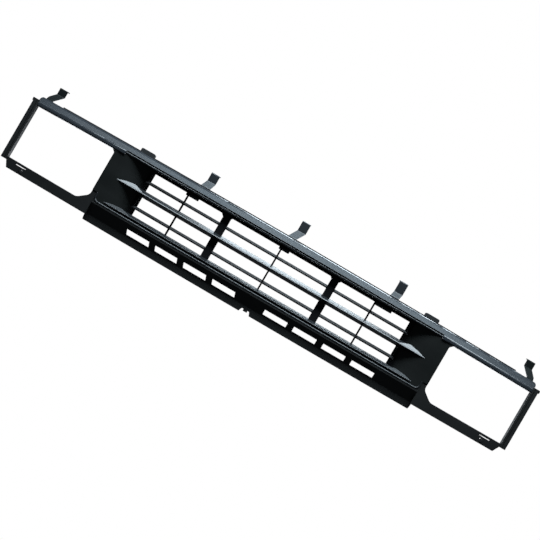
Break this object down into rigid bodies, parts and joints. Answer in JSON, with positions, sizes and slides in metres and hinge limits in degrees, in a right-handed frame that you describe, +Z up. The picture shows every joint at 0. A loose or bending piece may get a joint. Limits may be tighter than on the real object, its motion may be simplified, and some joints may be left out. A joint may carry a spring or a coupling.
{
  "type": "vehicle front grille",
  "caption": "Wide black moulded front grille for a pickup truck, with horizontal bars, slatted bays, open headlamp bays, a slotted apron and bent steel upper brackets.",
  "frame": {"origin": "midway between the two lower fixing holes, in the plane of their rear seats", "axes": "+X along the grille to the right seen from the front, +Y to the rear of the grille, +Z up"},
  "size_m": [1.482, 0.1351, 0.277],
  "materials": {
    "satin_black": "satin moulded black",
    "matte_black": "matte moulded black",
    "grained_black": "fine grained black",
    "bracket_steel": "semi-gloss black coated steel strip",
    "rivet_steel": "plain steel",
    "screw_zinc": "zinc plated",
    "pad_rubber": "moulded rubber"
  },
  "bodies": {
    "root": {"bracket_1": "bracket_steel", "bracket_2": "bracket_steel", "bracket_3": "bracket_steel", "bracket_4": "bracket_steel", "bracket_5": "bracket_steel", "bracket_rivets": "rivet_steel", "centre_bar": "satin_black", "divider_left": "grained_black", "divider_right": "grained_black", "end_post_left": "matte_black", "end_post_right": "matte_black", "insert_centre": "grained_black", "insert_left": "grained_black", "insert_right": "grained_black", "insert_screws": "screw_zinc", "lamp_frame_left": "matte_black", "lamp_frame_right": "matte_black", "locating_pad_left": "pad_rubber", "locating_pad_right": "pad_rubber", "lower_apron": "matte_black", "lower_bar": "satin_black", "rear_strip": "matte_black", "recess_bezel": "satin_black", "scoop_left": "satin_black", "scoop_right": "satin_black", "strip_screws": "screw_zinc", "top_rail": "satin_black"}
  },
  "joints": []
}
